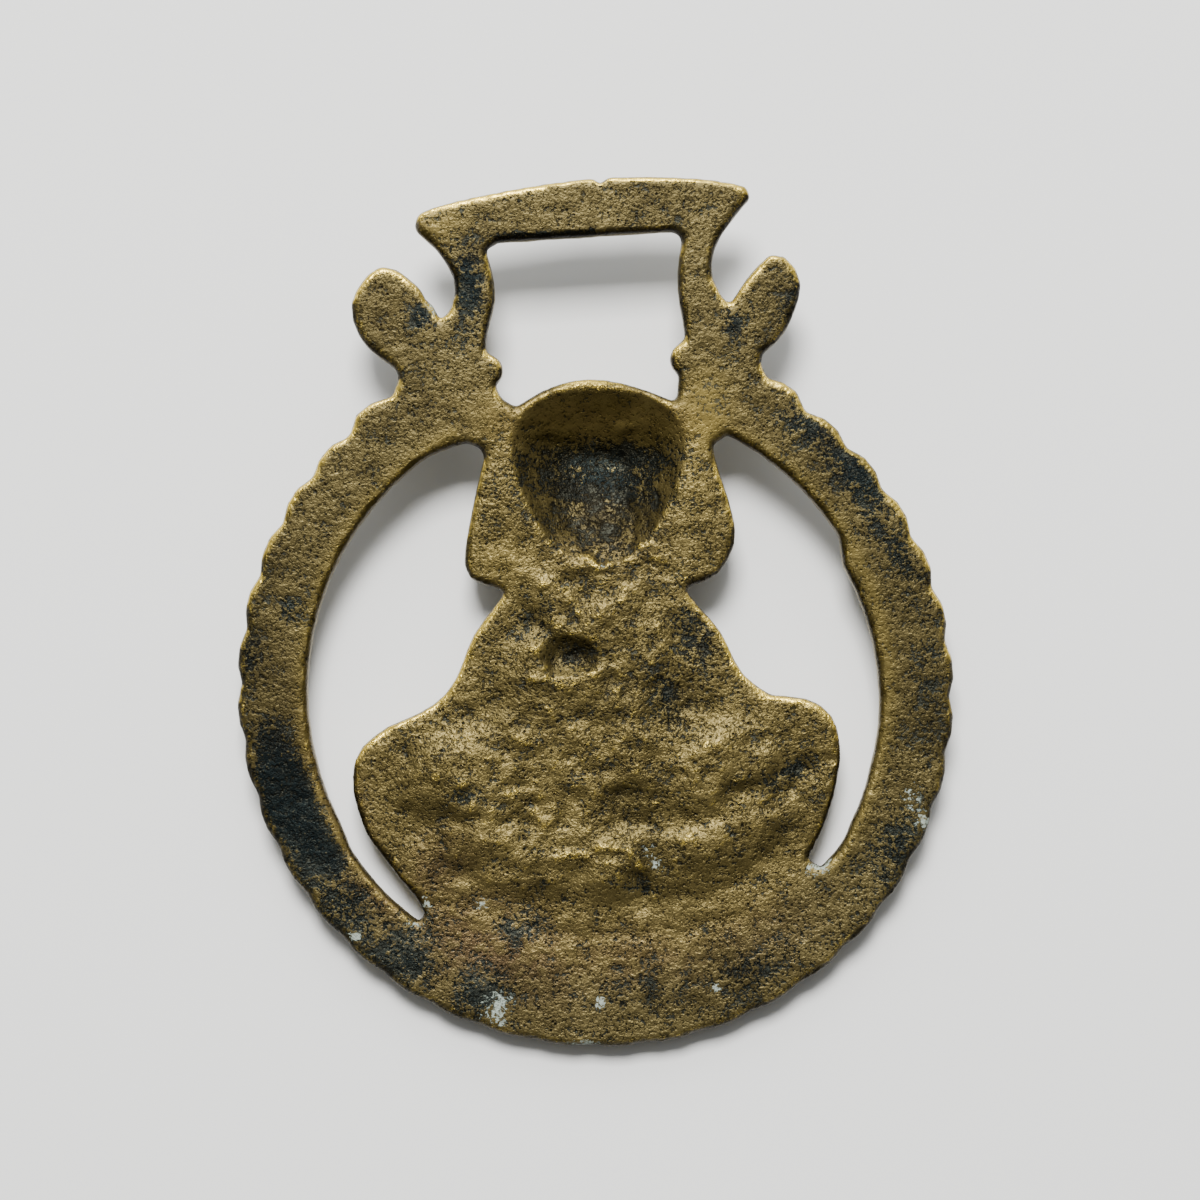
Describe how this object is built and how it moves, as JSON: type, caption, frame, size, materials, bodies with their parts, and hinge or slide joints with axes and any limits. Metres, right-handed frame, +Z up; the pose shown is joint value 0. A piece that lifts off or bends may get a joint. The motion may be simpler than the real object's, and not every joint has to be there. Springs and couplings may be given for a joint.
{
  "type": "horse brass",
  "caption": "Cast brass harness ornament: a lobed openwork ring round a seated cross-legged figure, with a strap loop, leaves and berries at the top, lying back up.",
  "frame": {"origin": "on the resting surface, under the middle of the casting as it lies face down", "axes": "+Z up, away from the resting surface, with the plain back up; +Y up the brass towards the strap loop; +X to the right when looking down at the back. The casting leans 5 degrees about X, so that the loop end is raised."},
  "size_m": [0.0744, 0.09, 0.0109],
  "materials": {
    "aged_brass": "aged cast brass, pitted, with olive and blue-black patina and worn bright edges"
  },
  "bodies": {
    "root": {"horse_brass": "aged_brass"}
  },
  "joints": []
}
